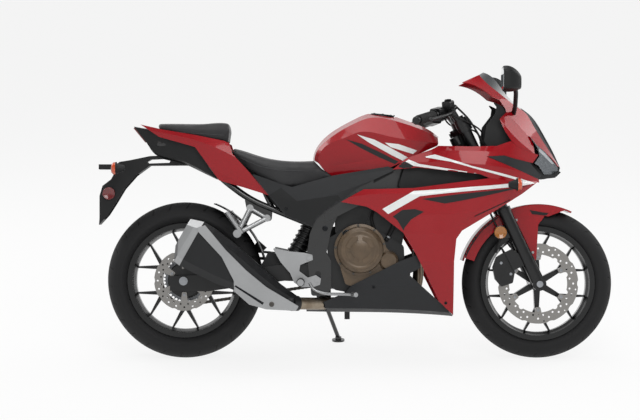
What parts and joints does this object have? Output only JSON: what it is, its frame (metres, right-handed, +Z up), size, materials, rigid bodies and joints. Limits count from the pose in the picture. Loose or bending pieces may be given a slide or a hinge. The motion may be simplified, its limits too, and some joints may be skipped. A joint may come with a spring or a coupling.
{
  "type": "sport motorcycle",
  "caption": "Mid-size faired sport motorcycle leaning on its side stand; turning wheels, steering, folding stand and hinged filler cap.",
  "frame": {"origin": "centre of the bounding box on the ground, with the motorcycle leaning to its left on the side stand", "axes": "+X forward, +Y to the rider's left, +Z up from the ground"},
  "size_m": [2.0549, 0.7946, 1.1959],
  "materials": {
    "red_paint": "glossy candy red paint over moulded panels",
    "tank_paint": "glossy candy red paint",
    "black_metal": "satin black paint",
    "black_casting": "black painted casting",
    "frame_paint": "satin black paint",
    "black_plastic": "textured black moulding",
    "grey_plastic": "matte dark grey moulding",
    "bronze_cover": "bronze brown painted casting",
    "silver_cast": "satin silver",
    "bright_steel": "brushed",
    "disc_steel": "ground",
    "chain_steel": "oiled",
    "exhaust_steel": "heat-tinted, drawn solid",
    "muffler_black": "satin black guard over the silencer",
    "tyre_rubber": "matt black with tread",
    "grip_rubber": "matt black",
    "seat_cover": "black grained seat cover over foam",
    "lens_red": "clear red",
    "lens_amber": "clear amber",
    "lamp_lens": "clear lens over bright reflectors",
    "smoke_screen": "smoke grey screen",
    "radiator_alloy": "black finned core"
  },
  "bodies": {
    "chassis": {"chain": "chain_steel", "engine_block": "black_casting", "clutch_cover": "bronze_cover", "alternator_cover": "bronze_cover", "radiator": "radiator_alloy", "exhaust_pipes": "exhaust_steel", "muffler": "muffler_black", "muffler_trim": "silver_cast", "frame": "frame_paint", "subframe": "frame_paint", "swingarm": "black_casting", "rear_axle": "bright_steel", "rear_shock": "black_casting", "rear_caliper": "black_casting", "chain_guard": "black_plastic", "fuel_tank": "tank_paint", "rider_seat": "seat_cover", "pillion_seat": "seat_cover", "tail_cowl": "red_paint", "tail_undertray": "black_plastic", "tail_lamp": "lens_red", "rear_fender": "black_plastic", "rear_signals": "lens_amber", "side_covers": "grey_plastic", "fairing_left": "red_paint", "fairing_right": "red_paint", "front_cowl": "red_paint", "nose_panels": "grey_plastic", "windscreen": "smoke_screen", "headlamps": "lamp_lens", "dash": "black_plastic", "cowl_stay": "black_metal", "inner_panels": "black_plastic", "mirrors": "black_plastic", "front_signals": "lens_amber", "belly_pan": "grey_plastic", "rider_steps": "silver_cast", "pillion_steps": "silver_cast"},
    "fork": {"fork_legs": "black_casting", "yokes": "black_casting", "front_axle": "bright_steel", "handlebars": "black_casting", "front_fender": "red_paint", "front_caliper": "black_casting", "brake_hose": "grip_rubber"},
    "front_wheel": {"front_rim": "black_casting", "front_tyre": "tyre_rubber", "front_disc": "disc_steel"},
    "rear_wheel": {"rear_rim": "black_casting", "rear_tyre": "tyre_rubber", "rear_disc": "disc_steel", "rear_sprocket": "bright_steel"},
    "side_stand": {"side_stand": "black_metal"},
    "fuel_cap": {"fuel_cap": "black_casting"}
  },
  "joints": [
    {"name": "steering", "type": "hinge", "parent": "chassis", "child": "fork", "pos_m": [0.40522, -0.02015, 0.87535], "axis": [-0.4305, 0.1722, 0.886], "range_deg": [-34, 34]},
    {"name": "front_wheel_spin", "type": "hinge", "parent": "fork", "child": "front_wheel", "pos_m": [0.728, -0.13284, 0.29563], "axis": [0, 0.9816, -0.1908], "continuous": true},
    {"name": "rear_wheel_spin", "type": "hinge", "parent": "chassis", "child": "rear_wheel", "pos_m": [-0.682, -0.13047, 0.30781], "axis": [0, 0.9816, -0.1908], "continuous": true},
    {"name": "side_stand_fold", "type": "hinge", "parent": "chassis", "child": "side_stand", "pos_m": [-0.122, -0.01272, 0.18509], "axis": [-0.106, 0.9313, 0.3485], "range_deg": [0, 98]},
    {"name": "fuel_cap_lid", "type": "hinge", "parent": "chassis", "child": "fuel_cap", "pos_m": [0.15577, -0.00465, 0.9551], "axis": [0, 0.9816, -0.1908], "range_deg": [0, 95]}
  ]
}
